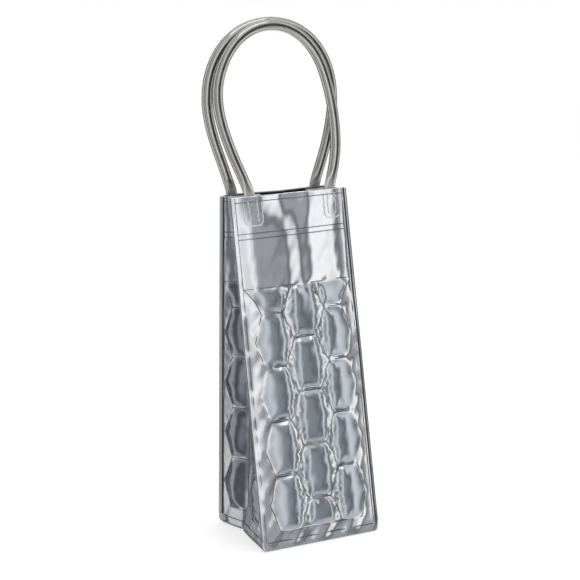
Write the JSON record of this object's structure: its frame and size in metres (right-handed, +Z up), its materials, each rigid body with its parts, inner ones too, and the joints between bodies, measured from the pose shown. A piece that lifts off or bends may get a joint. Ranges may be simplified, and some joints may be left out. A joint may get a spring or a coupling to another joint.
{
  "type": "gel cooling wine bag",
  "caption": "Upright clear plastic wine bag with quilted gel-filled walls, a plain hemmed mouth, folded-in sides and a pair of hollow tube loop handles.",
  "frame": {"origin": "middle of the underside of the base panel, on the surface the bag stands on", "axes": "+Z up towards the handles, -Y out of the front wall, +X to the right seen from the front"},
  "size_m": [0.1109, 0.0896, 0.3973],
  "materials": {
    "pvc_film": "clear grey PVC film, glossy, smooth",
    "cooling_gel": "clear grey-blue cooling gel sealed in film pockets",
    "handle_tube": "clear soft PVC tube, glossy"
  },
  "bodies": {
    "bag": {"base_panel": "pvc_film", "back_outer_film": "pvc_film", "back_inner_film": "pvc_film", "back_hem": "pvc_film", "back_gel_left": "cooling_gel", "back_gel_middle": "cooling_gel", "back_gel_right": "cooling_gel", "back_handle_left_end": "handle_tube", "back_handle_right_end": "handle_tube", "left_outer_film": "pvc_film", "left_inner_film": "pvc_film", "left_hem": "pvc_film", "left_gel_front": "cooling_gel", "left_gel_back": "cooling_gel", "right_outer_film": "pvc_film", "right_inner_film": "pvc_film", "right_hem": "pvc_film", "right_gel_front": "cooling_gel", "right_gel_back": "cooling_gel"},
    "front_wall": {"front_outer_film": "pvc_film", "front_inner_film": "pvc_film", "front_hem": "pvc_film", "front_gel_left": "cooling_gel", "front_gel_middle": "cooling_gel", "front_gel_right": "cooling_gel", "front_handle_left_end": "handle_tube", "front_handle_right_end": "handle_tube"},
    "front_handle": {"front_handle_tube": "handle_tube"},
    "back_handle": {"back_handle_tube": "handle_tube"}
  },
  "joints": [
    {"name": "mouth_open", "type": "hinge", "parent": "bag", "child": "front_wall", "pos_m": [0, -0.044, 0.0011], "axis": [1, 0, 0], "range_deg": [0, 14], "stiffness_Nm_per_rad": 0.15},
    {"name": "front_handle_tilt", "type": "hinge", "parent": "front_wall", "child": "front_handle", "pos_m": [0, -0.0084, 0.266], "axis": [1, 0, 0], "range_deg": [0, 100], "stiffness_Nm_per_rad": 0.05},
    {"name": "back_handle_tilt", "type": "hinge", "parent": "bag", "child": "back_handle", "pos_m": [0, 0.0084, 0.266], "axis": [1, 0, 0], "range_deg": [-100, 0], "stiffness_Nm_per_rad": 0.05}
  ]
}
